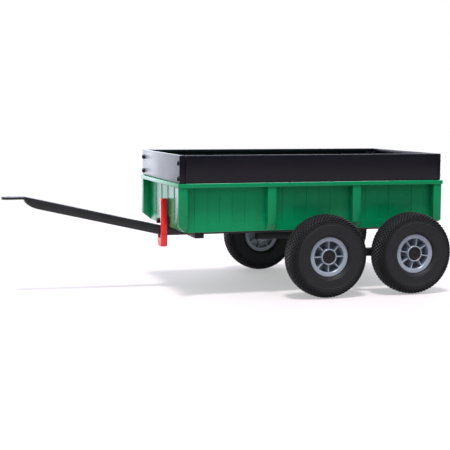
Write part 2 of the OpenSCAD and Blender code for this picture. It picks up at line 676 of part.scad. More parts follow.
// The inflated tube inside a tyre, with the valve that leaves through the rim's inner side
tube_gap = 1;                           // between the tube and the tyre's crown
tube_r = min((crown_r - seat_r) / 2 - 11, tyre_w / 2 - tyre_wall - 3);
tube_mid = crown_r - tyre_wall - tube_gap - tube_r;
valve_d = 8;
valve_z = -12;
spoke_n = 8;
// Children along the valve, which lies halfway between two spokes, starting at a radius
module at_valve(w, r0) rotate(w[2] + 180 / spoke_n) translate([0, 0, valve_z]) rotate([0, 90, 0])
    translate([0, 0, r0]) children();
module inner_tube(w) color("#1f1f22") at_wheel(w) difference() {
    union() {
        rotate_extrude($fn = 72) translate([tube_mid, 0]) difference() {
            circle(r = tube_r, $fn = 40);
            circle(r = tube_r - 1.6, $fn = 40);
        }
        at_valve(w, seat_r - 14) cylinder(h = tube_mid - tube_r - seat_r + 17, r = valve_d / 2);
    }
    at_valve(w, seat_r - 15) cylinder(h = tube_mid - seat_r + 15, r = 1.5);
}
module inner_tube_front_left() inner_tube(wheels[0]);
module inner_tube_front_right() inner_tube(wheels[1]);
module inner_tube_rear_left() inner_tube(wheels[2]);
module inner_tube_rear_right() inner_tube(wheels[3]);

// The moulded rim: barrel, two flanges, a web across the middle and eight spokes on each side of it
web_t = 4;
spoke_t = 3.6;
spoke_z = flange_z - 3;
barrel_r = seat_r - 0.2;
module rim(w) color("#8f99a6") at_wheel(w) difference() {
    union() {
        rotate_extrude($fn = 96) polygon([
            [barrel_r - barrel_t, -flange_z], [rim_d / 2, -flange_z], [rim_d / 2, -flange_z + flange_t],
            [barrel_r, -flange_z + flange_t], [barrel_r, flange_z - flange_t], [rim_d / 2, flange_z - flange_t],
            [rim_d / 2, flange_z], [barrel_r - barrel_t, flange_z]]);
        translate([0, 0, -web_t / 2]) cylinder(h = web_t, r = barrel_r - barrel_t + 0.5, $fn = 96);
        translate([0, 0, hub_inner]) cylinder(h = flange_z - hub_inner, r = hub_r, $fn = 72);
        for (i = [0:spoke_n - 1]) rotate(w[2] + i * 360 / spoke_n)
            span([hub_r - 2, -spoke_t / 2, -spoke_z], [barrel_r - barrel_t + 1, spoke_t / 2, spoke_z]);
    }
    translate([0, 0, hub_inner - 1]) cylinder(h = 100, r = bush_r, $fn = 60);
    translate([0, 0, hub_floor]) cylinder(h = 50, r = cap_r, $fn = 60);
    at_valve(w, hub_r + 3) cylinder(h = 40, r = valve_d / 2 + 0.3);
}
module rim_front_left() rim(wheels[0]);
module rim_front_right() rim(wheels[1]);
module rim_rear_left() rim(wheels[2]);
module rim_rear_right() rim(wheels[3]);

// Two flanged nylon bushes, one in each end of the hub
module bushes(w) color("#d8d8d0") at_wheel(w) difference() {
    union() {
        translate([0, 0, hub_inner - bush_flange_t]) cylinder(h = bush_flange_t, r = bush_flange_r);
        translate([0, 0, hub_inner - 0.5]) cylinder(h = 20.5, r = bush_r - 0.03);
        translate([0, 0, hub_floor - 20]) cylinder(h = 20.5, r = bush_r - 0.03);
        translate([0, 0, hub_floor]) cylinder(h = bush_flange_t, r = bush_flange_r);
    }
    translate([0, 0, hub_inner - 5]) cylinder(h = 100, r = axle_d / 2 + fit + 0.01);
}
module bushes_front_left() bushes(wheels[0]);
module bushes_front_right() bushes(wheels[1]);
module bushes_rear_left() bushes(wheels[2]);
module bushes_rear_right() bushes(wheels[3]);

// The push-in cap over the axle's nut
module hub_cap(w) color("#232326") at_wheel(w) rotate_extrude($fn = 72) polygon([
    [0, axle_end + 1], [cap_r - 2.2, axle_end + 1], [cap_r - 2.2, hub_floor + 4], [cap_r - 0.2, hub_floor + 4],
    [cap_r - 0.2, flange_z - 1], [cap_r - 1.2, flange_z], [cap_r * 0.6, flange_z + 0.8], [0, flange_z + 1.2]]);
module cap_front_left() hub_cap(wheels[0]);
module cap_front_right() hub_cap(wheels[1]);
module cap_rear_left() hub_cap(wheels[2]);
module cap_rear_right() hub_cap(wheels[3]);

// ---------- nodes ----------

drawbar();
outriggers();
outrigger_caps();
hinge_tube();
hinge_plugs();
hinge_rod();
hinge_washers();
hinge_collars();
cross_beam();
saddle_bracket();
left_side_beam();
right_side_beam();
side_beam_caps();
axle_front_left();
axle_front_right();
axle_rear_left();
axle_rear_right();
axle_washers();
axle_nuts();
lever_pin();
tip_lever();
tub();
hinge_ears();
hinge_bolts();
hinge_nuts();
catch_plate();
catch_screws();
corner_posts();
front_board();
rear_board();
left_board();
right_board();
board_bolts();
board_screws();
tailgate();
gate_pins();
bolt_guides();
left_gate_bolt();
right_gate_bolt();
tyre_front_left();
tyre_front_right();
tyre_rear_left();
tyre_rear_right();
inner_tube_front_left();
inner_tube_front_right();
inner_tube_rear_left();
inner_tube_rear_right();
rim_front_left();
rim_front_right();
rim_rear_left();
rim_rear_right();
bushes_front_left();
bushes_front_right();
bushes_rear_left();
bushes_rear_right();
cap_front_left();
cap_front_right();
cap_rear_left();
cap_rear_right();
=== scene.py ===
# %% [markdown]
# # A tandem-axle tipping trailer for a pedal go-kart
# The trailer is a moulded tub on a welded steel chassis, with four pneumatic wheels and a long drawbar.
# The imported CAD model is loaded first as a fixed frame. Every piece made below takes its place from that
# frame, so nothing has to be fitted to it afterwards.

# %% Load the frame
import math

import bmesh
import bpy
from mathutils import Matrix, Vector


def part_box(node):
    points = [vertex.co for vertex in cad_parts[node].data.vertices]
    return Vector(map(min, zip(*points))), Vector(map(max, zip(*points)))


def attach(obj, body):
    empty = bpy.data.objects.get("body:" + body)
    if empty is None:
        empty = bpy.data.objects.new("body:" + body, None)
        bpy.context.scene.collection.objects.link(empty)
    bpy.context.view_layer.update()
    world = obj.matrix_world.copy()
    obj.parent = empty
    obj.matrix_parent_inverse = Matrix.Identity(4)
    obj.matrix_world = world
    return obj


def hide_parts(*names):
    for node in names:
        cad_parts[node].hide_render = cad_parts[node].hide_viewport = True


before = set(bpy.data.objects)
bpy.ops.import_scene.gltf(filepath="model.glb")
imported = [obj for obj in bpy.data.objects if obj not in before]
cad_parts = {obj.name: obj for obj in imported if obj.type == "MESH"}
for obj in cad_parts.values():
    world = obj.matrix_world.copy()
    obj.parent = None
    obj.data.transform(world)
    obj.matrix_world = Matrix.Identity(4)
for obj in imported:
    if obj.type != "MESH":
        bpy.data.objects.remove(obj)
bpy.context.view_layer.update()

MM = 0.001
SIDES = (1, -1)

# %% [markdown]
# ## Helpers for modelling
# Lengths below are in millimetres, because that is how a trailer is drawn, and each helper turns them into
# metres. An operator acts on everything that is selected, and the loaded nodes start out selected, so each
# helper first deselects all. A finished piece keeps its object at the origin, with its place in its mesh.

# %% Selecting, and reading a node's box in millimetres
def pick(*pieces):
    """Select only these pieces and make the first one active."""
    if bpy.context.mode != "OBJECT":
        bpy.ops.object.mode_set(mode="OBJECT")
    bpy.ops.object.select_all(action="DESELECT")
    for piece in pieces:
        piece.select_set(True)
    if pieces:
        bpy.context.view_layer.objects.active = pieces[0]


def box_mm(node):
    """Lowest and highest corner of a CAD node, in millimetres."""
    lo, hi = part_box(node)
    return lo / MM, hi / MM


# %% [markdown]
# A moulded or folded edge is never sharp, and its small round is what catches the light, so nearly every
# shape is bevelled. Booleans use the exact solver, because many pieces share planes.

# %% Edges, cuts and joins
def soften(piece, width, steps=2, angle=30):
    """Round every edge that is sharper than the angle."""
    pick(piece)
    modifier = piece.modifiers.new("Soften", "BEVEL")
    modifier.width = width * MM
    modifier.segments = steps
    modifier.limit_method = "ANGLE"
    modifier.angle_limit = math.radians(angle)
    bpy.ops.object.modifier_apply(modifier=modifier.name)
    return piece


def join(*pieces):
    """Make several pieces one object, under the first one's name."""
    pick(*pieces)
    if len(pieces) > 1:
        bpy.ops.object.join()
    return pieces[0]


def combine(piece, *tools, how="DIFFERENCE"):
    """Cut the tools out of a piece, or add them to it with how="UNION", and use them up."""
    for tool in tools:
        pick(piece)
        modifier = piece.modifiers.new("Combine", "BOOLEAN")
        modifier.operation = how
        modifier.solver = "EXACT"
        modifier.object = tool
        bpy.ops.object.modifier_apply(modifier=modifier.name)
        bpy.data.objects.remove(tool)
    return piece


# %% Blocks and bars
def block(name, lo, hi, radius=0.0, steps=2):
    """A block between two corners, with rounded edges."""
    pick()
    lo, hi = Vector(lo) * MM, Vector(hi) * MM
    bpy.ops.mesh.primitive_cube_add(size=1, location=(lo + hi) / 2, scale=hi - lo)
    piece = bpy.context.object
    piece.name = name
    bpy.ops.object.transform_apply(location=True, rotation=True, scale=True)
    return soften(piece, radius, steps) if radius else piece


TURN_TO = {"X": (0, math.pi / 2, 0), "Y": (math.pi / 2, 0, 0), "Z": (0, 0, 0)}


def bar(name, axis, centre, length, radius, sides=40):
    """A round bar along X, Y or Z."""
    pick()
    bpy.ops.mesh.primitive_cylinder_add(vertices=sides, radius=radius * MM, depth=length * MM,
                                        location=Vector(centre) * MM, rotation=TURN_TO[axis])
    piece = bpy.context.object
    piece.name = name
    bpy.ops.object.transform_apply(location=True, rotation=True, scale=True)
    return piece


# %% [markdown]
# Most other shapes follow from an outline: it is extruded from one place to the next, or turned round an
# axle.

# %% Outlines, lofts and turned shapes
def outline(name, points, fill):
    """A circle with as many corners as the outline has, each moved to its own place."""
    pick()
    bpy.ops.mesh.primitive_circle_add(vertices=len(points), radius=MM, fill_type=fill)
    piece = bpy.context.object
    piece.name = name
    for vertex, point in zip(piece.data.vertices, points):
        vertex.co = Vector(point) * MM
    return piece


def loft(name, sections):
    """A solid through several outlines: the end face is extruded, then its corners go to the next outline."""
    piece = outline(name, sections[0], "NGON")
    pick(piece)
    bpy.ops.object.mode_set(mode="EDIT")
    bpy.ops.mesh.select_all(action="SELECT")
    for here, there in zip(sections, sections[1:]):
        bpy.ops.mesh.extrude_region_move()
        mesh = bmesh.from_edit_mesh(piece.data)
        for vertex in [v for v in mesh.verts if v.select]:
            gaps = [(Vector(point) * MM - vertex.co).length for point in here]
            vertex.co = Vector(there[gaps.index(min(gaps))]) * MM
        bmesh.update_edit_mesh(piece.data)
    bpy.ops.mesh.select_all(action="SELECT")
    bpy.ops.mesh.normals_make_consistent(inside=False)
    bpy.ops.object.mode_set(mode="OBJECT")
    return piece


def spun(name, section, steps=96):
    """A closed outline of (radius, along) points, turned once round the Y axis."""
    piece = outline(name, [(radius, along, 0) for radius, along in section], "NOTHING")
    pick(piece)
    bpy.ops.object.mode_set(mode="EDIT")
    bpy.ops.mesh.select_all(action="SELECT")
    bpy.ops.mesh.spin(steps=steps, angle=2 * math.pi, center=(0, 0, 0), axis=(0, 1, 0))
    bpy.ops.mesh.select_all(action="SELECT")
    bpy.ops.mesh.remove_doubles(threshold=0.001 * MM)
    bpy.ops.mesh.delete_loose(use_faces=False)
    bpy.ops.mesh.select_all(action="SELECT")
    bpy.ops.mesh.normals_make_consistent(inside=False)
    bpy.ops.object.mode_set(mode="OBJECT")
    return piece


def arc(centre, radius, start, end, steps):
    """Points along an arc in a plane, the angles in degrees."""
    angles = [math.radians(start + (end - start) * i / steps) for i in range(steps + 1)]
    return [(centre[0] + radius * math.cos(a), centre[1] + radius * math.sin(a)) for a in angles]


# %% Places and copies
def span(side, near, far):
    """Two distances from the middle plane on one side, as a rising pair of Y values."""
    return sorted((side * near, side * far))


def placed(piece, matrix):
    """Move a piece's mesh by a matrix, and leave its object at the origin."""
    piece.data.transform(matrix)
    return piece


def copy_of(piece, name, matrix):
    """A copy with its own mesh, at its own place."""
    pick(piece)
    bpy.ops.object.duplicate(linked=False)
    twin = bpy.context.object
    twin.name = name
    return placed(twin, matrix)


print("Helpers are ready")

# %% [markdown]
# ## Finishes
# Every colour is an sRGB hex value, turned to linear light by one function. Moulded plastic, powder coat and
# rubber all share one build-up: a broad, faint change of colour, a fine surface grain and a slow waviness.
# What tells them apart is their colour, how much they shine and how coarse the grain is, so the shared part
# is one function and each finish has its own cell.

# %% Colour and nodes
def linear(code):
    """An sRGB hex colour as linear RGBA."""
    channels = [int(code[i:i + 2], 16) / 255 for i in (1, 3, 5)]
    return [c / 12.92 if c <= 0.04045 else ((c + 0.055) / 1.055) ** 2.4 for c in channels] + [1.0]


def node(tree, kind, inputs=None, **settings):
    """Add a node. An input is a value, or another node's output to link."""
    made = tree.nodes.new(kind)
    for key, value in settings.items():
        setattr(made, key, value)
    for socket, value in (inputs or {}).items():
        if isinstance(value, bpy.types.NodeSocket):
            tree.links.new(value, made.inputs[socket])
        else:
            made.inputs[socket].default_value = value
    return made


# %% A grained surface
GLOSS_SPREAD = 0.04             # roughness differs by this much from patch to patch
WAVE_MM, WAVE_DEPTH_MM = 90, 4  # length and depth of the slow waviness


def grained(name, colour, second, roughness, grain_mm, grain, patch_mm, wave=0.0, **fixed):
    """A material with two close colours in soft patches, a grain of a given size and a slow waviness."""
    material = bpy.data.materials.new(name)
    material.use_nodes = True
    tree = material.node_tree
    tree.nodes.clear()
    place = node(tree, "ShaderNodeTexCoord").outputs["Object"]

    def noise(size_mm, detail):
        return node(tree, "ShaderNodeTexNoise", {"Vector": place, "Scale": 1 / (size_mm * MM),
                                                 "Detail": detail}).outputs["Fac"]

    patches = noise(patch_mm, 4.0)
    blend = node(tree, "ShaderNodeMapRange", {"Value": patches, "From Min": 0.35, "From Max": 0.65})
    tint = node(tree, "ShaderNodeMix", {"Factor": blend.outputs["Result"], "A": linear(colour),
                                        "B": linear(second)}, data_type="RGBA")
    gloss = node(tree, "ShaderNodeMapRange", {"Value": patches, "From Min": 0.3, "From Max": 0.7,
                                              "To Min": roughness - GLOSS_SPREAD,
                                              "To Max": roughness + GLOSS_SPREAD})
    waves = node(tree, "ShaderNodeBump", {"Height": noise(WAVE_MM, 1.0), "Strength": wave,
                                          "Distance": WAVE_DEPTH_MM * MM})
    bumps = node(tree, "ShaderNodeBump", {"Height": noise(grain_mm, 2.0), "Strength": grain,
                                          "Distance": grain_mm * MM, "Normal": waves.outputs["Normal"]})
    shader = node(tree, "ShaderNodeBsdfPrincipled", {
        "Base Color": tint.outputs["Result"], "Roughness": gloss.outputs["Result"],
        "Normal": bumps.outputs["Normal"]} | fixed)
    node(tree, "ShaderNodeOutputMaterial", {"Surface": shader.outputs["BSDF"]})
    print("finish:", name)
    return material


FINISH = {}

# %% [markdown]
# The tub is injection-moulded polypropylene, coloured green in the mass. The mould is spark eroded, which
# leaves a fine satin grain. The grain is about 0.4 mm on the real tub. It is drawn at 1.2 mm, because
# anything finer disappears when the whole trailer is shown.

# %% Green moulded polypropylene
FINISH["tub_green"] = grained("green_moulded_polypropylene", "#007f4e", "#028552", roughness=0.29,
                              grain_mm=1.2, grain=0.08, patch_mm=120, wave=0.04, IOR=1.49,
                              **{"Specular IOR Level": 0.22})

# %% [markdown]
# The boards are steel sheet under a satin black powder coat. Powder flows out into a shallow orange peel,
# a few millimetres from one dimple to the next, and it mirrors a bright wall when seen at a low angle.

# %% Satin black powder coat
FINISH["board_black"] = grained("satin_black_powder_coat", "#100f16", "#131119", roughness=0.3,
                                grain_mm=2.2, grain=0.05, patch_mm=150, wave=0.03, IOR=1.5,
                                **{"Specular IOR Level": 0.22})

# %% [markdown]
# The chassis has the same coat, thicker and a little rougher, as it comes from the hooks of the coating line.

# %% Chassis powder coat
FINISH["frame_black"] = grained("chassis_black_powder_coat", "#101013", "#151518", roughness=0.42,
                                grain_mm=2.6, grain=0.09, patch_mm=50, IOR=1.5)

# %% [markdown]
# The lever wears a gloss red powder coat, so that a child sees what to pull.

# %% Gloss red powder coat
FINISH["lever_red"] = grained("gloss_red_powder_coat", "#ea2a29", "#e22624", roughness=0.3,
                              grain_mm=2.4, grain=0.06, patch_mm=40, IOR=1.5)

# %% [markdown]
# Tyre rubber is black from its carbon filler and goes dull and slightly brown in the open. Its grain is
# that of the blasted mould, with a trace of dust in the patches.

# %% Weathered tyre rubber
FINISH["tyre_rubber"] = grained("weathered_tyre_rubber", "#18181b", "#1c1b1e", roughness=0.58,
                                grain_mm=1.4, grain=0.14, patch_mm=22, IOR=1.52,
                                **{"Specular IOR Level": 0.25})
FINISH["tube_rubber"] = grained("butyl_tube_rubber", "#18181a", "#1d1d1f", roughness=0.55,
                                grain_mm=1.0, grain=0.05, patch_mm=15, IOR=1.52)

# %% [markdown]
# The rims are moulded in a cool grey polypropylene with a smoother face than the tub, so that each edge
# carries a small highlight. The caps and end plugs are the same plastic in black.

# %% Grey and black rim plastic
FINISH["rim_grey"] = grained("grey_moulded_polypropylene", "#868e99", "#8d949f", roughness=0.3,
                             grain_mm=1.0, grain=0.04, patch_mm=40, IOR=1.49)
FINISH["plastic_black"] = grained("black_moulded_polypropylene", "#101012", "#161618", roughness=0.4,
                                  grain_mm=0.9, grain=0.08, patch_mm=20, IOR=1.49,
                                  **{"Specular IOR Level": 0.25})
FINISH["nylon"] = grained("natural_nylon", "#dad9cf", "#d2d0c4", roughness=0.45,
                          grain_mm=0.8, grain=0.03, patch_mm=12, IOR=1.53)

# %% [markdown]
# The fasteners are steel. Zinc plating is a bright, slightly cloudy metal. Black oxide is a thin dark skin
# that still reflects as metal does.

# %% Zinc plate and black oxide
FINISH["zinc"] = grained("bright_zinc_plate", "#b4b8bf", "#a3a7ae", roughness=0.3,
                         grain_mm=1.2, grain=0.03, patch_mm=8, Metallic=1.0)
FINISH["bolt_black"] = grained("black_oxide_steel", "#1c1c1f", "#242427", roughness=0.34,
                               grain_mm=1.0, grain=0.05, patch_mm=8, Metallic=0.6)
print(len(FINISH), "finishes")

# %% [markdown]
# ## The nodes that stay
# Rods, nuts, washers, bushes, screws and posts already have their true shape, so they keep the CAD mesh and
# only change their finish. A node's material slot is named after the record's slot.

# %% Dress the CAD nodes
for cad_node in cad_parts.values():
    for material_slot in cad_node.material_slots:
        material_slot.material = FINISH[material_slot.material.name.split(".")[0]]
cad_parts["lever_pin"].material_slots[0].material = FINISH["lever_red"]
print("dressed", len(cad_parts), "CAD nodes")

# %% [markdown]
# Every other piece is made below and hung on the body that it moves with. It is shaded smooth up to an
# angle, so that rounds look round and flat faces stay flat.


# %% Hanging a finished piece on its body
def hang(piece, slot, body, *nodes, smooth=35):
    """Shade and paint a piece, let it ride on a body, and hide the CAD nodes that it stands for."""
    pick(piece)
    bpy.ops.object.shade_smooth_by_angle(angle=math.radians(smooth))
    piece.data.materials.clear()
    piece.data.materials.append(FINISH[slot])
    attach(piece, body)
    if nodes:
        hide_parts(*nodes)
    print(f"{piece.name}: {len(piece.data.polygons)} faces on {body}")
    return piece


# %% [markdown]
# ## The tub
# The tub is one moulding: thin walls, a hollow rim band round the top, ribs on the long sides and a post at
# each corner, all with slanted feet. The walls are moulded to look like upright planks. Each of these is
# made as a rounded block or a short loft, they are added up with booleans, and what is hollow is cut out
# last, as a core does in the mould. Added pieces reach a little into each other and cutting tools reach
# past the face, because a boolean fails easily on faces that only touch.

# %% The tub's main sizes, from its CAD node
tub_lo, tub_hi = box_mm("tub")
ENDS = ((0, -1), (1, 1))    # rear and front: the index in a pair, and the direction that the end faces
BAND_H = 12.5       # height of the rim band
LIP = 3.0           # the band stands out this far from the ribs
RIB_OUT = 25.0      # the ribs stand out this far from the walls
RIB_W = 28.0
FOOT = 20.0         # height of a rib's slanted foot
WALL = 3.5
EDGE_R = 1.2        # rounding of the moulding's outer edges
INTO = 2.0          # an added piece reaches this far into its neighbour
PAST = 5.0          # a cutting tool reaches this far past the face
wall_in = LIP + RIB_OUT
wall_y = tub_hi.y - wall_in
rib_y = tub_hi.y - LIP
band_z = tub_hi.z - BAND_H
foot_z = tub_lo.z + 2
toe_z, knee_z = foot_z - 1, foot_z + FOOT       # where a slanted foot begins and ends
wall_x = (tub_lo.x + wall_in, tub_hi.x - wall_in)
post_x = (tub_lo.x + LIP, tub_hi.x - LIP)
bay = (post_x[1] - post_x[0] - RIB_W) / 3
rib_at = [post_x[0] + RIB_W / 2 + bay * i for i in range(4)]
print("bay pitch", round(bay, 1), "mm; ribs at", [round(x) for x in rib_at])

# %% [markdown]
# A rib has the same outline all along X, so one outline is extruded. A corner post leans in on two faces at
# its foot, so it is lofted upwards through three squares instead.


# %% Ribs and corner posts
def rib(x, side):
    """A rib on a long side: one outline of its section, extruded along X."""
    section = [(-INTO, toe_z), (0, toe_z), (RIB_OUT, knee_z), (RIB_OUT, band_z + INTO), (-INTO, band_z + INTO)]
    ends = [[(at, side * (wall_y + out), z) for out, z in section] for at in (x - RIB_W / 2, x + RIB_W / 2)]
    return soften(loft("rib", ends), EDGE_R)


def corner_post(end, way, side):
    """A post at a corner: its two outer faces lean in towards the foot."""
    face = post_x[end]

    def section(out, z):
        x_in, x_out = face - way * RIB_W, face - way * (RIB_OUT - out)
        y_in, y_out = side * (rib_y - RIB_W), side * (wall_y + out)
        return [(x_in, y_in, z), (x_out, y_in, z), (x_out, y_out, z), (x_in, y_out, z)]

    levels = [section(0, toe_z), section(RIB_OUT, knee_z), section(RIB_OUT, band_z + INTO)]
    return soften(loft("post", levels), EDGE_R)


uprights = [rib(x, side) for x in rib_at[1:3] for side in SIDES]
uprights += [corner_post(end, way, side) for end, way in ENDS for side in SIDES]
print(len(uprights), "ribs and posts")

# %% [markdown]
# In each bay, every other plank stands 1.6 mm proud of the wall. That is enough for the edges to show as
# fine upright lines. A strip along the foot of the wall stands out by half as much.

# %% The planks and the plinth
PLANK = 40.6                    # width of a moulded plank
PROUD = 1.6
SIDE_PLANKS, FRONT_PLANKS = 7, 11
PLINTH_H = 26.0                 # height of the strip along the foot of the walls
SIDE_TRIM, FRONT_TRIM = 8, 20   # the plinth stops this far short of the ribs' middle and the posts' face
strip_z, plinth_z = tub_lo.z + 1, tub_lo.z + PLINTH_H


def side_strip(side):
    """A maker of strips on one long side, between two places along X."""
    def make(a, b, z_hi, proud):
        y = span(side, wall_y - 1, wall_y + proud)
        return block("strip", (a, y[0], strip_z), (b, y[1], z_hi), 0.5, 1)
    return make


def front_strip(a, b, z_hi, proud):
    """A strip on the front wall, between two places along Y."""
    return block("strip", (wall_x[1] - 1, a, strip_z), (wall_x[1] + proud, b, z_hi), 0.5, 1)


def raised_planks(centre, count, width, make):
    """Every other plank on a stretch of wall."""
    lines = [centre + PLANK * (i - count / 2) for i in range(count + 1)]
    return [make(max(a, centre - width / 2), min(b, centre + width / 2), band_z + 1, PROUD)
            for a, b in list(zip(lines, lines[1:]))[1::2]]


planks, plinths = [], []
for side in SIDES:
    for rear_rib, front_rib in zip(rib_at, rib_at[1:]):
        middle = (rear_rib + front_rib) / 2
        planks += raised_planks(middle, SIDE_PLANKS, bay - RIB_W, side_strip(side))
        plinths.append(side_strip(side)(middle - bay / 2 + SIDE_TRIM, middle + bay / 2 - SIDE_TRIM,
                                        plinth_z, PROUD / 2))
planks += raised_planks(0, FRONT_PLANKS, 2 * (rib_y - RIB_W), front_strip)
plinths.append(front_strip(FRONT_TRIM - rib_y, rib_y - FRONT_TRIM, plinth_z, PROUD / 2))
print(len(planks), "raised planks")

# %% [markdown]
# The walls start as one solid block with rounded corners. The band has no draft, so that its face catches
# the same light as the walls under it.

# %% Add the tub up
tub = block("tub_moulding", (wall_x[0], -wall_y, tub_lo.z), (wall_x[1], wall_y, tub_hi.z - 1), 2.5)
band = block("band", (tub_lo.x, -tub_hi.y, band_z), (tub_hi.x, tub_hi.y, tub_hi.z), EDGE_R, 3)
combine(tub, *plinths, *planks, *uprights, band, how="UNION")
print("tub outside:", len(tub.data.polygons), "faces")

# %% [markdown]
# The load space leaves a solid block in each corner, with a square socket for the post of the boards. Under
# the band, between the ribs, the moulding is open from below.

# %% Hollow the tub
FLOOR = 4.0
INNER_R = 2.0           # rounding of the load space
BLOCK = 31.5            # how far a corner block reaches in
TALLER = 9.0            # the corner blocks are taller than the space that they are cut from
POCKET_GAP = 0.4        # between a pocket and the raised planks
ROOF = 4.0              # the band's top and the material over a pocket
inside_y = wall_y - WALL
inside_x = (wall_x[0] + WALL, wall_x[1] - WALL)
floor_z = tub_lo.z + FLOOR
space = block("space", (inside_x[0], -inside_y, floor_z), (inside_x[1], inside_y, tub_hi.z + PAST), INNER_R)
corners, pockets = [], []
for end, way in ENDS:
    for side in SIDES:
        x = sorted((post_x[end], post_x[end] - way * BLOCK))
        y = span(side, rib_y, rib_y - BLOCK)
        corners.append(block("corner", (x[0], y[0], tub_lo.z), (x[1], y[1], tub_hi.z + TALLER), INNER_R))
combine(space, *corners)
for side in SIDES:
    y = span(side, wall_y + PROUD + POCKET_GAP, tub_hi.y - WALL)
    for rear_rib, front_rib in zip(rib_at, rib_at[1:]):
        pockets.append(block("pocket", (rear_rib + RIB_W / 2, y[0], band_z - INTO),
                             (front_rib - RIB_W / 2, y[1], tub_hi.z - ROOF)))
for end, way in ENDS:
    x = sorted(((tub_lo.x, tub_hi.x)[end] - way * WALL, wall_x[end] + way * (PROUD + POCKET_GAP)))
    pockets.append(block("pocket", (x[0], RIB_W - rib_y, band_z - INTO),
                         (x[1], rib_y - RIB_W, tub_hi.z - ROOF)))
combine(tub, space, *pockets)
print("tub hollowed:", len(tub.data.polygons), "faces")

# %% [markdown]
# Four cuts depend on other pieces, so they are measured from those pieces' boxes: the sockets from the
# boards' posts, the rear opening from the tailgate, and the two holes that the tailgate's bolts slide into
# from a bolt. The ribs are cored from inside, as a moulder does to keep every wall equally thick.

# %% Sockets, rib cores, the tailgate's opening and the bolt holes
post_lo, post_hi = box_mm("corner_posts")
gate_lo, gate_hi = box_mm("tailgate")
bolt_lo, bolt_hi = box_mm("left_gate_bolt")
SOCKET_GAP = 0.3
POST = (20, 15)         # a board post's size along X and Y
GATE_GAP = 1.0          # between the tailgate and its opening
BOLT_TRAVEL = 14.0
bolt_r = (bolt_hi.z - bolt_lo.z) / 2
sockets, cores, bolt_holes = [], [], []
for end, way in ENDS:
    x_out = (post_lo.x, post_hi.x)[end]
    x = sorted((x_out + way * SOCKET_GAP, x_out - way * (POST[0] + SOCKET_GAP)))
    for side in SIDES:
        y = span(side, post_hi.y + SOCKET_GAP, post_hi.y - POST[1] - SOCKET_GAP)
        sockets.append(block("socket", (x[0], y[0], post_lo.z), (x[1], y[1], tub_hi.z + PAST)))
for x in rib_at[1:3]:
    for side in SIDES:
        y = span(side, inside_y - 1, rib_y - WALL)
        cores.append(block("core", (x - RIB_W / 2 + WALL, y[0], knee_z + WALL),
                           (x + RIB_W / 2 - WALL, y[1], band_z - WALL), 1))
opening = block("opening", (wall_x[0] - PAST, gate_lo.y - GATE_GAP, tub_lo.z - PAST),
                (gate_hi.x + GATE_GAP, gate_hi.y + GATE_GAP, band_z))
for side in SIDES:
    middle = (bolt_hi.x - bolt_r, side * (gate_hi.y + GATE_GAP + BOLT_TRAVEL / 2), bolt_lo.z + bolt_r)
    bolt_holes.append(bar("hole", "Y", middle, BOLT_TRAVEL + 2 * GATE_GAP, bolt_r + SOCKET_GAP))
combine(tub, *sockets, *cores, opening, *bolt_holes)
print("tub cut for its fittings:", len(tub.data.polygons), "faces")

# %% [markdown]
# Low ribs on the floor stiffen it and keep a load up from the wet. They are added last, because the load
# space would cut them away.

# %% The floor's ribs
FLOOR_RIBS, RIB_PITCH = 7, 55
REAR_STOP, FRONT_STOP = 70, 40      # the ribs stop this far short of the walls
RIB_HALF, RIB_RISE = 4, 1.4
treads = []
for i in range(FLOOR_RIBS):
    y = (i - (FLOOR_RIBS - 1) / 2) * RIB_PITCH
    treads.append(block("tread", (inside_x[0] + REAR_STOP, y - RIB_HALF, floor_z - 1),
                        (inside_x[1] - FRONT_STOP, y + RIB_HALF, floor_z + RIB_RISE), 1))
combine(tub, *treads, how="UNION")
hang(tub, "tub_green", "tub", "tub")

# %% [markdown]
# ## The tailgate
# The rear wall drops to tip the load out. It is a thick plank-grooved panel with a round knuckle along its
# foot. The pin at each end of the knuckle, the guides and the two sliding bolts keep their CAD shape.

# %% The tailgate's panel and knuckle
KNUCKLE = 6.5
GATE_T = 8.0
GATE_LINES = 10
GROOVE_D = 0.9
GROOVE_FOOT, GROOVE_HEAD = 16, 8    # the grooves stop this far short of the panel's foot and top
gate_mid = (gate_lo.x + gate_hi.x) / 2
gate_back = gate_mid - GATE_T / 2
gate = block("tailgate_panel", (gate_back, gate_lo.y, gate_lo.z + KNUCKLE),
             (gate_mid + GATE_T / 2, gate_hi.y, gate_hi.z), EDGE_R)
grooves = []
for i in range(GATE_LINES):
    y = PLANK * (i + 0.5 - GATE_LINES / 2)
    grooves.append(block("groove", (gate_back - 1, y - 1, gate_lo.z + GROOVE_FOOT),
                         (gate_back + GROOVE_D, y + 1, gate_hi.z - GROOVE_HEAD), 0.4, 1))
combine(gate, *grooves)
knuckle = soften(bar("knuckle", "Y", (gate_mid, 0, gate_lo.z + KNUCKLE), 2 * gate_hi.y, KNUCKLE), 0.8)
combine(gate, knuckle, how="UNION")
hang(gate, "tub_green", "tailgate", "tailgate")

# %% [markdown]
# ## The extension boards
# Four boards of 3 mm sheet raise the sides. Their top edge is rolled inwards, which makes it stiff and
# safe to touch, and gives the long soft highlight along the top. The end boards turn round the corners with
# a short return. Each is one solid slab, and two cuts leave the sheet, its returns and its rolled edge.

# %% The end boards
board_lo, board_hi = box_mm("front_board")
rear_lo, rear_hi = box_mm("rear_board")
SHEET = 3.0
HEM = 10.0
BEHIND = 9          # the cuts reach this far past the returns' ends


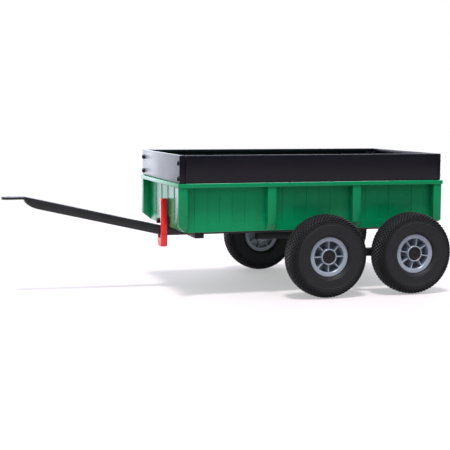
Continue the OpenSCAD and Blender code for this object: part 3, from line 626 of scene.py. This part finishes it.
def end_board(name, x_face, way, back, node_name):
    """A board across an end: way is the direction that its face looks in, and back its returns' length."""
    def slab(depth, y_half, lo, hi, start=0.0, radius=0.0):
        x = sorted((x_face - way * start, x_face - way * depth))
        return block("slab", (x[0], -y_half, lo), (x[1], y_half, hi), radius, 3)

    y, z_lo, z_hi = board_hi.y, board_lo.z, board_hi.z
    board = slab(back, y, z_lo, z_hi, radius=2.2)
    board.name = name
    combine(board, slab(back + BEHIND, y - SHEET, z_lo - PAST, z_hi - HEM, start=SHEET),
            slab(back + BEHIND, y - HEM, z_hi - HEM - INTO, z_hi + PAST, start=HEM, radius=1))
    return hang(board, "board_black", "tub", node_name)


end_board("front_board_sheet", board_hi.x, 1, board_hi.x - board_lo.x, "front_board")
end_board("rear_board_sheet", rear_lo.x, -1, rear_hi.x - rear_lo.x, "rear_board")

# %% [markdown]
# A side board fits between the returns of the end boards. It is the outer sheet, the rolled edge along its
# top, and a doubler plate behind each end, which the posts' screws go into.

# %% The side boards
HEM_R = 3.2
DOUBLER_T, DOUBLER_L = 3.0, 36.0
side_ends = (rear_hi.x + SOCKET_GAP, board_lo.x - SOCKET_GAP)
rear_end = (side_ends[0], side_ends[0] + DOUBLER_L)
front_end = (side_ends[1] - DOUBLER_L, side_ends[1])


def layer(name, side, ends, depths, heights, radius, steps=2):
    """One layer of a side board, between two depths behind its face."""
    y = sorted(side * (board_hi.y - depth) for depth in depths)
    return block(name, (ends[0], y[0], heights[0]), (ends[1], y[1], heights[1]), radius, steps)


for name, side in (("left_board", 1), ("right_board", -1)):
    sheet = layer(f"{name}_sheet", side, side_ends, (0, SHEET), (board_lo.z, board_hi.z - 2), 0.8)
    roll = layer("roll", side, side_ends, (0, HEM), (board_hi.z - HEM, board_hi.z), HEM_R, 4)
    plates = [layer("plate", side, ends, (SHEET - 0.5, SHEET + SOCKET_GAP + DOUBLER_T),
                    (board_lo.z, board_hi.z - HEM - 1), 0.6) for ends in (rear_end, front_end)]
    combine(sheet, *plates, roll, how="UNION")
    hang(sheet, "board_black", "tub", name)

# %% [markdown]
# The end boards are held by carriage bolts: a low dome on a thin skirt. One dome is turned, then copied to
# its eight places.

# %% The domed bolts
HEAD_R, HEAD_H = 7.8, 5.9
SKIRT = 1.2                     # height of the thin edge under the dome
NECK_R, NECK_L = 4, 12
BOLT_HEIGHTS = (15, 62)         # above the boards' lower edge
dome = [(0, HEAD_H)]
for angle in range(15, 91, 15):
    a = math.radians(angle)
    dome.append((HEAD_R * math.sin(a), SKIRT + (HEAD_H - SKIRT) * math.cos(a)))
dome += [(HEAD_R, 0), (NECK_R, 0), (NECK_R, -NECK_L), (0, -NECK_L)]
head = spun("head", dome, 32)
post_mid = post_hi.y - POST[1] / 2
heads = []
for x_face, turn in ((board_hi.x, -90), (rear_lo.x, 90)):
    for side in SIDES:
        for up in BOLT_HEIGHTS:
            spot = Matrix.Translation(Vector((x_face, side * post_mid, board_lo.z + up)) * MM)
            heads.append(copy_of(head, "head", spot @ Matrix.Rotation(math.radians(turn), 4, "Z")))
bpy.data.objects.remove(head)
bolts = join(*heads)
bolts.name = "board_carriage_bolts"
hang(bolts, "bolt_black", "tub", "board_bolts")

# %% [markdown]
# ## The drawbar
# The drawbar is one length of 30 mm square tube. It runs level under the tub, bends upwards ahead of it,
# and is pressed flat at the end for the hitch. A rounded square is lofted along the bend, and each slice of
# the pressed stretch is wider and flatter than the one before, with its top on one line.

# %% The drawbar's line
bar_lo, bar_hi = box_mm("drawbar")
BEAM, BEAM_R = 30.0, 3.0
TONGUE_L, TONGUE_T, TONGUE_R = 72.0, 8.0, 1.6
BEND_IN = 19.0      # the bend lies this far behind the tub's front edge
bend_x = tub_hi.x - BEND_IN
tongue_x = bar_hi.x - TONGUE_L
tongue_half = bar_hi.y
top_level = bar_lo.z + BEAM
slope = math.atan2(bar_hi.z - top_level, tongue_x - bend_x)
print("the drawbar rises at", round(math.degrees(slope), 1), "degrees")

# %% [markdown]
# Each slice is a rectangle with arcs for corners, all with the same number of points, so that the loft can
# pair them. At the bend the slice leans by half the slope, as a mitre does, and both straights meet it.


# %% The drawbar, slice by slice
def rounded(x, half, top, depth, radius, lean=0.0):
    """A rounded rectangle across the drawbar. Lean slants it, so that it can stand square to a slope."""
    points = []
    for corner_y, corner_z, start in ((half, 0, 0), (-half, 0, 90), (-half, -depth, 180), (half, -depth, 270)):
        inset_y = corner_y - math.copysign(radius, corner_y)
        inset_z = corner_z - radius if corner_z == 0 else corner_z + radius
        points += arc((inset_y, inset_z), radius, start, start + 90, 3)
    return [(x + lean * z, y, top + z) for y, z in points]


def top_at(x):
    """The height of the drawbar's upper face."""
    return min(bar_hi.z, top_level + max(0.0, x - bend_x) * math.tan(slope))


PRESS_L, PRESS_IN, PRESS_STEPS = 46.0, 4, 10    # the pressed stretch, and how far it runs into the tongue
PRESS_CURVE = 2.4                               # the higher it is, the later the tube goes flat
TIP_STEPS, TIP_END = 8, 88                      # degrees: at 90 the last slice would have no width
tall = BEAM / math.cos(slope)
slices = [rounded(bar_lo.x, BEAM / 2, top_level, BEAM, BEAM_R),
          rounded(bend_x, BEAM / 2, top_level, BEAM, BEAM_R, -math.tan(slope / 2))]
for i in range(PRESS_STEPS + 1):
    f = i / PRESS_STEPS
    x = tongue_x - PRESS_L + f * (PRESS_L + PRESS_IN)
    deep = TONGUE_T + (tall - TONGUE_T) * math.sqrt(1 - f ** PRESS_CURVE)
    half = BEAM / 2 + (tongue_half - BEAM / 2) * f * f
    slices.append(rounded(x, half, top_at(x), deep, BEAM_R * (1 - f) + TONGUE_R * f))
for i in range(TIP_STEPS + 1):
    a = math.radians(TIP_END * i / TIP_STEPS)
    half = tongue_half * math.cos(a)
    slices.append(rounded(bar_hi.x - tongue_half + tongue_half * math.sin(a), half, bar_hi.z, TONGUE_T,
                          min(TONGUE_R, half * 0.9)))
drawbar = loft("drawbar_tube", slices)
print("drawbar:", len(slices), "slices")

# %% [markdown]
# The hitch hole goes through the tongue, and the tube's rear end is notched round the tub's hinge tube.

# %% Its bore, and the seat round the hinge tube
HITCH_IN, HITCH_R = 22.0, 6.5
HINGE_R = 15.0
hole = bar("hole", "Z", (bar_hi.x - HITCH_IN, 0, bar_hi.z - TONGUE_T / 2), 3 * TONGUE_T, HITCH_R)
seat = bar("seat", "Y", (bar_lo.x, 0, bar_lo.z + BEAM / 2), 2 * BEAM, HINGE_R, 64)
combine(drawbar, hole, seat)
hang(drawbar, "frame_black", "chassis", "drawbar")

# %% [markdown]
# ## The rest of the chassis
# The cross tubes and the beams between the wheels are square tubes with rolled corners, so a plain block
# with 2.5 mm rounds is their true outside shape. Black plastic caps close the open ends. The tube under the
# tub's front is cut by the drawbar, so it and its caps are made as a left and a right half.

# %% Square tubes and their end caps
TUBE_R = 2.5
for beam_node in ("left_side_beam", "right_side_beam", "cross_beam"):
    lo, hi = box_mm(beam_node)
    hang(block(f"{beam_node}_tube", lo, hi, TUBE_R, 3), "frame_black", "chassis", beam_node)
out_lo, out_hi = box_mm("outriggers")
cap_lo, cap_hi = box_mm("outrigger_caps")
for name, lo, hi, y_in, radius, steps, slot, cad_name in (
        ("outrigger_tubes", out_lo, out_hi, BEAM / 2, TUBE_R, 3, "frame_black", "outriggers"),
        ("outrigger_end_caps", cap_lo, cap_hi, out_hi.y, 0.9, 2, "plastic_black", "outrigger_caps")):
    halves = []
    for side in SIDES:
        y = span(side, y_in, hi.y)
        halves.append(block("half", (lo.x, y[0], lo.z), (hi.x, y[1], hi.z), radius, steps))
    both = join(*halves)
    both.name = name
    hang(both, slot, "chassis", cad_name)

# %% [markdown]
# ## The tipping lever
# The lever is cut from thick flat stock. From the front it is a straight bar on the near side of the
# drawbar, which goes down past it, turns in underneath on a curve and ends in a short cheek on the far side.
# Its outline is extruded along X and its edges are rounded.

# %% The lever
lever_lo, lever_hi = box_mm("tip_lever")
pin_lo, pin_hi = box_mm("lever_pin")
HANDLE = 20.0               # width of the bar
NIP, HEEL = 3, 6            # corners cut off at the bar's top and foot
CHEEK_IN = BEAM / 2 + 0.6
CHEEK_TOP = 12              # heights are measured from the pivot
WEB_TOP = -24.0             # top of the part under the drawbar
TURN_Y, TURN_H = 8, 18.0    # where the curve under the drawbar starts, and how far it rises
STEP_IN, STEP_HEIGHTS = 6, (32, 46, 52)     # the bar's inner edge leaves the drawbar in two slants
pivot_z = (pin_lo.z + pin_hi.z) / 2
head_z, heel_z = lever_hi.z - pivot_z, lever_lo.z - pivot_z
near = lever_hi.y
grip = near - HANDLE
front = [(grip + NIP, head_z), (near - NIP, head_z), (near, head_z - NIP), (near, heel_z + HEEL),
         (near - HEEL, heel_z), (-TURN_Y, heel_z)]
for angle in range(15, 91, 15):
    a = math.radians(angle)
    front.append((-TURN_Y - (near - TURN_Y) * math.sin(a), heel_z + TURN_H * (1 - math.cos(a))))
front += [(-near, CHEEK_TOP), (-CHEEK_IN, CHEEK_TOP), (-CHEEK_IN, WEB_TOP), (CHEEK_IN, WEB_TOP),
          (CHEEK_IN, STEP_HEIGHTS[0]), (CHEEK_IN - STEP_IN, STEP_HEIGHTS[1]), (grip, STEP_HEIGHTS[2]),
          (grip, head_z - NIP)]
lever = loft("lever_flat", [[(x, y, pivot_z + z) for y, z in front] for x in (lever_lo.x, lever_hi.x)])
soften(lever, 1.4, 3)
hang(lever, "lever_red", "lever", "tip_lever")

# %% [markdown]
# A black stud stands on the catch plate, beside the handle. It is a short turned pin with a rounded end, and
# it keeps the lever from being pushed over.

# %% The stud on the catch plate
plate_hi = box_mm("catch_plate")[1]
STUD_R, STUD_L, STUD_Y = 8.5, 24.0, -29.0
STUD_EDGE = 3
STUD_DOWN = 9       # between the stud and the plate's upper edge
stud_line = [(0, STUD_L), (STUD_R - STUD_EDGE, STUD_L)]
stud_line += arc((STUD_R - STUD_EDGE, STUD_L - STUD_EDGE), STUD_EDGE, 75, 0, 5)
stud = spun("catch_stud", stud_line + [(STUD_R, 0), (0, 0)], 40)
placed(stud, Matrix.Translation(Vector((plate_hi.x, STUD_Y, plate_hi.z - STUD_R - STUD_DOWN)) * MM)
       @ Matrix.Rotation(math.radians(-90), 4, "Z"))
hang(stud, "plastic_black", "tub")

# %% [markdown]
# ## The wheels
# One wheel is made at the origin with its axle along Y and its outer side towards +Y. The tyre's carcass
# and the rim are turned shapes. Each row of the tread is one block, copied round the tyre.
#
# A tyre's outline is fuller than an ellipse, so each quarter of it is a superellipse: the exponent
# says how square it is. Angles give even steps along it.

# %% The tyre's outline
tyre_lo, tyre_hi = box_mm("tyre_front_left")
TYRE_R = (tyre_hi.z - tyre_lo.z) / 2
TYRE_HALF = (tyre_hi.y - tyre_lo.y) / 2
TREAD_H = 2.0
BULGE = 2.6         # the exponent
BEAD_R, BEAD_Y = 62.6, 28
SHOULDER = (BEAD_R + TYRE_R) / 2 - 4


def crown(angle, sink):
    """A point of the tyre's outer half: 0 and 180 degrees are the sidewalls, 90 is the crown."""
    c, s = math.cos(math.radians(angle)), math.sin(math.radians(angle))
    out = (TYRE_HALF - sink) * math.copysign(abs(c) ** (2 / BULGE), c)
    return SHOULDER + (TYRE_R - sink - SHOULDER) * max(0.0, s) ** (2 / BULGE), out


def flank(angle, way):
    """A point of a sidewall, from its widest place at 0 degrees down to the bead at 90."""
    c, s = math.cos(math.radians(angle)), math.sin(math.radians(angle))
    out = BEAD_Y + (TYRE_HALF - TREAD_H - BEAD_Y) * c ** (2 / BULGE)
    return SHOULDER - (SHOULDER - BEAD_R) * s ** (2 / BULGE), way * out


def ridge(points, radius, width, height):
    """Lift the points near a radius, for a moulded ring on the sidewall, or sink them for a groove."""
    lifted = []
    for r, y in points:
        rise = height * max(0.0, 1 - abs(r - radius) / width)
        lifted.append((r, y + math.copysign(rise, y)))
    return lifted


print("tyre", round(2 * TYRE_R), "by", round(2 * TYRE_HALF), "mm")

# %% [markdown]
# The carcass is one closed outline, turned round the axle: the outside, then the hollow that the inner tube
# fills. Two moulded rings stand on each sidewall with a groove beside them, as on most small tyres.

# %% The carcass
RINGS = [(99, 2.6, 1.5), (92, 1.6, -0.5), (72, 2.4, 1.3), (67, 1.6, -0.6)]     # radius, half width, height
SEAT_R, SEAT_Y = 52.2, 26.4     # the bead's seat on the rim
hollow = [(BEAD_R, SEAT_Y), (SEAT_R, SEAT_Y), (SEAT_R, 17), (BEAD_R + 6, 17), (BEAD_R + 22, 34),
          (TYRE_R - 14, 26)]
outside = [crown(a, TREAD_H) for a in range(0, 181, 3)] + [flank(a, -1) for a in range(2, 90, 2)]
climb = [flank(a, 1) for a in range(88, 0, -2)]
for radius, width, height in RINGS:
    outside, climb = ridge(outside, radius, width, height), ridge(climb, radius, width, height)
inside = [(r, -y) for r, y in hollow] + [(TYRE_R - 9, 0)] + hollow[::-1]
carcass = spun("carcass", outside + inside + climb, 120)
print("carcass:", len(carcass.data.polygons), "faces")

# %% [markdown]
# The tread is a field of lozenges. A lozenge is a cube whose top is smaller than its foot, turned by 45
# degrees. Each row sits square to the surface, and every other row is shifted by half a step. The array
# modifier copies a block round the axle by the turn of an empty, which goes once the modifier is applied.

# %% The tread blocks
LEANS = [0, 11, 22, 34, 46, 58, 68, 77]     # a row's angle from the crown
ROWS = [(side * lean, 0.5 * (i % 2)) for i, lean in enumerate(LEANS) for side in SIDES if lean or side > 0]
AROUND = 70
BLOCK_W, TAPER = 7.4, 0.8
SINK = 1.2                                  # the blocks start below the carcass


def tread_row(lean, shift):
    """One row of lozenges at an angle from the crown, all round the tyre."""
    r, y = crown(90 - lean, TREAD_H)
    r_next, y_next = crown(90 - lean - 0.5, TREAD_H)
    pick()
    bpy.ops.mesh.primitive_cube_add(size=1, scale=(BLOCK_W * MM, BLOCK_W * MM, (TREAD_H + SINK) * MM),
                                    rotation=(0, 0, math.pi / 4))
    lozenge = bpy.context.object
    bpy.ops.object.transform_apply(location=True, rotation=True, scale=True)
    for vertex in lozenge.data.vertices:
        if vertex.co.z > 0:
            vertex.co.x *= TAPER
            vertex.co.y *= TAPER
    lift = Matrix.Translation((0, 0, (TREAD_H - SINK) / 2 * MM))
    lean_over = Matrix.Rotation(math.atan2(r - r_next, y_next - y), 4, "X")
    out = Matrix.Translation((0, y * MM, r * MM))
    step = 2 * math.pi / AROUND
    placed(lozenge, Matrix.Rotation(shift * step, 4, "Y") @ out @ lean_over @ lift)
    bpy.ops.object.empty_add(rotation=(0, step, 0))
    hub = bpy.context.object
    pick(lozenge)
    modifier = lozenge.modifiers.new("Round", "ARRAY")
    modifier.count = AROUND
    modifier.use_relative_offset = False
    modifier.use_object_offset = True
    modifier.offset_object = hub
    bpy.ops.object.modifier_apply(modifier=modifier.name)
    bpy.data.objects.remove(hub)
    return lozenge


tyre = join(carcass, *[tread_row(lean, shift) for lean, shift in ROWS])
print("tyre:", len(tyre.data.polygons), "faces,", AROUND * len(ROWS), "blocks")

# %% [markdown]
# The rim is moulded in one piece: a barrel with two flanges, a web that is set back behind its middle, a
# hub, and eight thin spokes on each side of the web. The barrel, web and hub are one turned section, and the
# spokes are added as blocks that run through the web. The small numbers in the section round its edges.

# %% The rim
rim_lo, rim_hi = box_mm("rim_front_left")
RIM_R = (rim_hi.z - rim_lo.z) / 2
HUB_R, CAP_R, BORE_R = 25.0, 21.5, 11.0
FLANGE = 29.7                       # half the width over the flanges
LEDGE = FLANGE - 3                  # the flanges' inner faces
BARREL_IN, BARREL_OUT = 47.8, 51.8
WEB_IN, WEB_OUT = -14.0, -10.0
HUB_BACK, HUB_FLOOR = -34.5, 12.0
SPOKES, SPOKE_T = 8, 3.0
rim_section = [
    (BORE_R, HUB_BACK), (HUB_R - 1, HUB_BACK), (HUB_R, HUB_BACK + 1), (HUB_R, WEB_IN), (BARREL_IN, WEB_IN),
    (BARREL_IN + 0.4, -FLANGE + 1), (BARREL_IN + 1.5, -FLANGE), (RIM_R - 1.2, -FLANGE), (RIM_R, -FLANGE + 1.2),
    (RIM_R, -LEDGE), (BARREL_OUT, -LEDGE), (BARREL_OUT, LEDGE), (RIM_R, LEDGE), (RIM_R, FLANGE - 1.4),
    *arc((RIM_R - 1.6, FLANGE - 1.5), 1.5, 10, 90, 4),
    (BARREL_IN + 6, FLANGE - 0.3), (BARREL_IN + 2.2, FLANGE - 0.9), (BARREL_IN + 0.6, FLANGE - 2.6),
    (BARREL_IN, WEB_OUT), (HUB_R, WEB_OUT), (HUB_R, FLANGE - 1), (HUB_R - 0.9, FLANGE), (CAP_R + 0.7, FLANGE),
    (CAP_R, FLANGE - 0.8), (CAP_R, HUB_FLOOR), (BORE_R, HUB_FLOOR)]
rim = spun("rim", rim_section, 96)
spoke = block("spoke", (HUB_R - 1.5, -LEDGE, -SPOKE_T / 2), (BARREL_IN + 1.5, LEDGE, SPOKE_T / 2), 0.9)
spokes = [copy_of(spoke, "spoke", Matrix.Rotation(2 * math.pi * i / SPOKES, 4, "Y")) for i in range(SPOKES)]
bpy.data.objects.remove(spoke)
combine(rim, *spokes, how="UNION")
print("rim:", len(rim.data.polygons), "faces")

# %% [markdown]
# The hub cap is a shallow plastic lid with a slightly dished face and a skirt that clips into the hub.

# %% The hub cap
cap_out = box_mm("cap_front_left")[1].y - (tyre_lo.y + tyre_hi.y) / 2
SKIRT_R, SKIRT_END = CAP_R - 0.2, HUB_FLOOR + 4
LID_T = 2
face = [(0, -0.6), (4, -0.5), (6, -0.1), (13, -0.3), (16, -0.9), (18.4, -1.4)]     # radius, depth of the dish
hub_cap = spun("hub_cap", [(r, cap_out + y) for r, y in face] + [
    (20.4, FLANGE - 0.6), (SKIRT_R, FLANGE - 1.6), (SKIRT_R, SKIRT_END), (SKIRT_R - LID_T, SKIRT_END),
    (SKIRT_R - LID_T, FLANGE - 2.8), (0, FLANGE - 2.8)], 72)
print("hub cap:", len(hub_cap.data.polygons), "faces")

# %% [markdown]
# The pieces of a wheel are copied to the four corners. Right wheels are turned about Z so that their outer
# side faces out, and each wheel stands at its own turn, as wheels do after a ride.

# %% Four wheels
RIM_TURN = {"front_left": 0, "front_right": 12, "rear_left": -11, "rear_right": 28}
for place, turn in RIM_TURN.items():
    lo, hi = box_mm(f"tyre_{place}")
    centre = Matrix.Translation((lo + hi) / 2 * MM)
    facing = Matrix.Rotation(0 if "left" in place else math.pi, 4, "Z")
    spot = centre @ facing @ Matrix.Rotation(math.radians(turn), 4, "Y")
    wheel = f"wheel_{place}"
    hang(copy_of(tyre, f"treaded_tyre_{place}", spot), "tyre_rubber", wheel, f"tyre_{place}", smooth=28)
    hang(copy_of(rim, f"spoked_rim_{place}", spot), "rim_grey", wheel, f"rim_{place}")
    hang(copy_of(hub_cap, f"hub_cap_{place}", spot), "plastic_black", wheel, f"cap_{place}")
for model in (tyre, rim, hub_cap):
    bpy.data.objects.remove(model)

# %% [markdown]
# ## The studio
# The trailer is shown from its left and slightly from ahead, with the camera a little above the boards. A
# long lens from 3.5 m away keeps the perspective calm, which suits a product.

# %% Camera
CAMERA_AT = (1.0334, 3.4577, 0.5792)            # metres
HEADING, TILT, ROLL = 161.95, 84.02, 0.33       # degrees
camera_data = bpy.data.cameras.new("camera")
camera_data.sensor_width = 36
camera_data.lens = 87.8
camera_data.shift_x = -0.04
camera = bpy.data.objects.new("camera", camera_data)
bpy.context.scene.collection.objects.link(camera)
camera.matrix_world = (Matrix.Translation(CAMERA_AT) @ Matrix.Rotation(math.radians(HEADING), 4, "Z")
                       @ Matrix.Rotation(math.radians(TILT), 4, "X")
                       @ Matrix.Rotation(math.radians(ROLL), 4, "Z"))
bpy.context.scene.camera = camera
print("camera", camera_data.lens, "mm")

# %% [markdown]
# The trailer stands on a shooting table of opal acrylic, which glows a little from below, so that it reads
# as white and its shadows stay pale. A white floor without the glow would need so much light that the black
# parts turned grey.

# %% Floor
TABLE_R = 2.4       # metres
TABLE_GLOW = 0.39
pick()
bpy.ops.mesh.primitive_circle_add(vertices=96, radius=TABLE_R, fill_type="NGON")
floor = bpy.context.object
floor.name = "floor"
paint = bpy.data.materials.new("opal_acrylic_table")
paint.use_nodes = True
acrylic = paint.node_tree.nodes["Principled BSDF"].inputs
acrylic["Base Color"].default_value = linear("#a2999a")
acrylic["Roughness"].default_value = 0.9
acrylic["Specular IOR Level"].default_value = 0.1
acrylic["Emission Color"].default_value = linear("#ffffff")
acrylic["Emission Strength"].default_value = TABLE_GLOW
floor.data.materials.append(paint)
print("table", 2 * TABLE_R, "m across")

# %% [markdown]
# The far side of the room is a bright wall, which the faces that look forwards mirror at a low angle. The
# ceiling is softer, and the near side low down is dark, so that the black boards stay black. The camera
# itself sees plain white behind the table.

# %% The room's light
FAR_LIGHT, TOP_LIGHT, NEAR_LIGHT = 3.6, 1.3, 0.13
world = bpy.data.worlds.new("studio")
bpy.context.scene.world = world
world.use_nodes = True
room = world.node_tree
room.nodes.clear()
look = node(room, "ShaderNodeTexCoord").outputs["Generated"]
axes = node(room, "ShaderNodeSeparateXYZ", {"Vector": look}).outputs
far_wall = node(room, "ShaderNodeMapRange", {"Value": axes["Y"], "From Min": -0.95, "From Max": -0.3,
                                             "To Min": FAR_LIGHT, "To Max": NEAR_LIGHT},
                interpolation_type="SMOOTHSTEP").outputs["Result"]
ceiling = node(room, "ShaderNodeMapRange", {"Value": axes["Z"], "From Min": 0.2, "From Max": 0.5,
                                            "To Min": NEAR_LIGHT, "To Max": TOP_LIGHT},
               interpolation_type="SMOOTHSTEP").outputs["Result"]
level = node(room, "ShaderNodeMath", {0: far_wall, 1: ceiling}, operation="MAXIMUM").outputs["Value"]
walls = node(room, "ShaderNodeBackground", {"Color": linear("#e9eefc"), "Strength": level})
backdrop = node(room, "ShaderNodeBackground", {"Color": (1, 1, 1, 1), "Strength": 1.0})
seen = node(room, "ShaderNodeLightPath").outputs["Is Camera Ray"]
choice = node(room, "ShaderNodeMixShader", {0: seen, 1: walls.outputs["Background"],
                                            2: backdrop.outputs["Background"]})
node(room, "ShaderNodeOutputWorld", {"Surface": choice.outputs["Shader"]})
print("room:", len(room.nodes), "nodes")

# %% [markdown]
# One soft key light hangs high on the near side and a little ahead, and gives each wheel its shadow. A sun
# lamp lights every place from the same direction, and its angle says how soft the shadows' edges are.

# %% The key light
KEY_WAY = (-0.12, -0.3, -1)
key = bpy.data.lights.new("key", "SUN")
key.energy = 3.4
key.angle = math.radians(11)
key_lamp = bpy.data.objects.new("key", key)
bpy.context.scene.collection.objects.link(key_lamp)
key_lamp.rotation_euler = Vector(KEY_WAY).to_track_quat("-Z", "Y").to_euler()
bpy.context.scene.view_settings.view_transform = "Standard"
print("key light", round(key.energy, 1), "from above")
